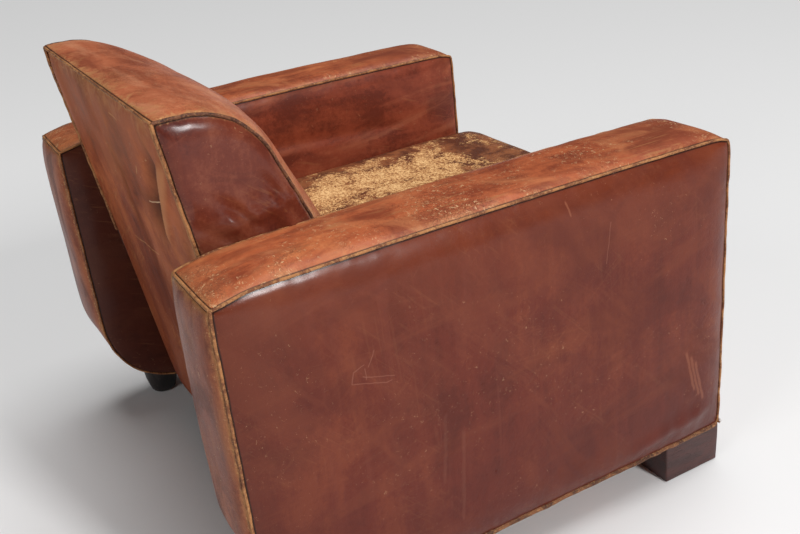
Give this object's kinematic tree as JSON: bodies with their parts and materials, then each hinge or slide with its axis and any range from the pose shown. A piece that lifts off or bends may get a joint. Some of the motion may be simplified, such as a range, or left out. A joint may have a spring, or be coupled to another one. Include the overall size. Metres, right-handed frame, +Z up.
{
  "type": "worn club chair",
  "caption": "Low leather armchair with box arms, swept rear corners, a raked back, a sprung seat, block feet in front and turned feet behind.",
  "frame": {"origin": "on the floor, under the centre of the chair's bounding box", "axes": "+Z up; the sitter faces -Y; +X is to the sitter's left"},
  "size_m": [0.89, 0.851, 0.73],
  "materials": {
    "arm_leather": "aged oxblood brown, scuffed, satin",
    "arm_top_leather": "aged tan brown, cracked and worn along its edges",
    "back_leather": "aged reddish brown with tan streaks",
    "seat_leather": "worn through to a golden tan suede",
    "piping_leather": "rubbed tan piping",
    "frame_wood": "sawn beech",
    "foot_wood": "dark mahogany stain, satin",
    "stuffing": "curled horsehair and wadding",
    "webbing": "plain woven jute",
    "spring_wire": "coppered spring wire, dulled",
    "dust_cloth": "thin black cloth"
  },
  "bodies": {
    "root": {"arm_band_left": "arm_top_leather", "arm_band_right": "arm_top_leather", "arm_bottom_rail_left": "frame_wood", "arm_bottom_rail_right": "frame_wood", "arm_front_post_left": "frame_wood", "arm_front_post_right": "frame_wood", "arm_inner_panel_left": "arm_leather", "arm_inner_panel_right": "arm_leather", "arm_inner_piping_left": "piping_leather", "arm_inner_piping_right": "piping_leather", "arm_outer_panel_left": "arm_leather", "arm_outer_panel_right": "arm_leather", "arm_outer_piping_left": "piping_leather", "arm_outer_piping_right": "piping_leather", "arm_rear_band_left": "arm_leather", "arm_rear_band_right": "arm_leather", "arm_rear_post_left": "frame_wood", "arm_rear_post_right": "frame_wood", "arm_stuffing_left": "stuffing", "arm_stuffing_right": "stuffing", "arm_top_rail_left": "frame_wood", "arm_top_rail_right": "frame_wood", "back_cross_piping": "piping_leather", "back_front_cover": "back_leather", "back_gusset_left": "back_leather", "back_gusset_right": "back_leather", "back_piping_left": "piping_leather", "back_piping_right": "piping_leather", "back_rear_panel": "back_leather", "back_stuffing": "stuffing", "back_top_rail": "frame_wood", "back_upright_left": "frame_wood", "back_upright_right": "frame_wood", "dust_cover": "dust_cloth", "foot_front_left": "foot_wood", "foot_front_right": "foot_wood", "foot_rear_left": "foot_wood", "foot_rear_right": "foot_wood", "front_apron": "seat_leather", "seat_cover": "seat_leather", "seat_front_rail": "frame_wood", "seat_rear_rail": "frame_wood", "seat_side_rail_left": "frame_wood", "seat_side_rail_right": "frame_wood", "seat_spring_1": "spring_wire", "seat_spring_2": "spring_wire", "seat_spring_3": "spring_wire", "seat_spring_4": "spring_wire", "seat_spring_5": "spring_wire", "seat_spring_6": "spring_wire", "seat_spring_7": "spring_wire", "seat_spring_8": "spring_wire", "seat_spring_9": "spring_wire", "seat_stuffing": "stuffing", "seat_web_cross_1": "webbing", "seat_web_cross_2": "webbing", "seat_web_cross_3": "webbing", "seat_web_long_1": "webbing", "seat_web_long_2": "webbing", "seat_web_long_3": "webbing"}
  },
  "joints": []
}
